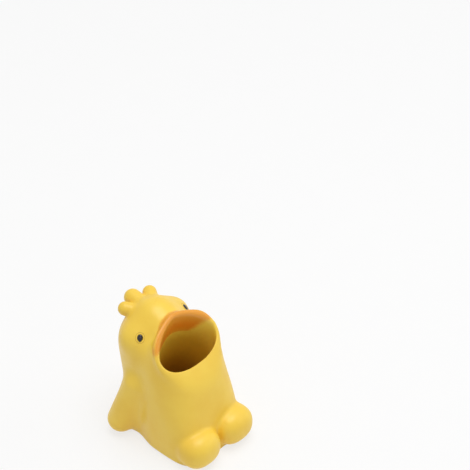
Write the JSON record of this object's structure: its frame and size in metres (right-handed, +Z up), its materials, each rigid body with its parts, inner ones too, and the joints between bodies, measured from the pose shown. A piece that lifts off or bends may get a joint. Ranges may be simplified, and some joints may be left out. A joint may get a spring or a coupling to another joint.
{
  "type": "toothbrush holder",
  "caption": "Countertop holder for one brush handle: a sitting young bird with its head thrown back, whose wide open beak is the mouth of a deep blind well.",
  "frame": {"origin": "on the counter, under the middle of the part's bounding box", "axes": "+Z up, -Y the way that the bird faces, +X its left side"},
  "size_m": [0.0526, 0.0628, 0.0681],
  "materials": {
    "body_yellow": "satin paint on cast resin",
    "beak_orange": "satin airbrushed paint on cast resin",
    "eye_black": "gloss",
    "pad_clear": "soft matte"
  },
  "bodies": {
    "root": {"body": "body_yellow", "upper_beak": "beak_orange", "eye_left": "eye_black", "eye_right": "eye_black", "crest": "body_yellow", "wing_left": "body_yellow", "wing_right": "body_yellow", "foot_left": "body_yellow", "foot_right": "body_yellow", "pad_front_left": "pad_clear", "pad_front_right": "pad_clear", "pad_back_left": "pad_clear", "pad_back_right": "pad_clear"}
  },
  "joints": []
}
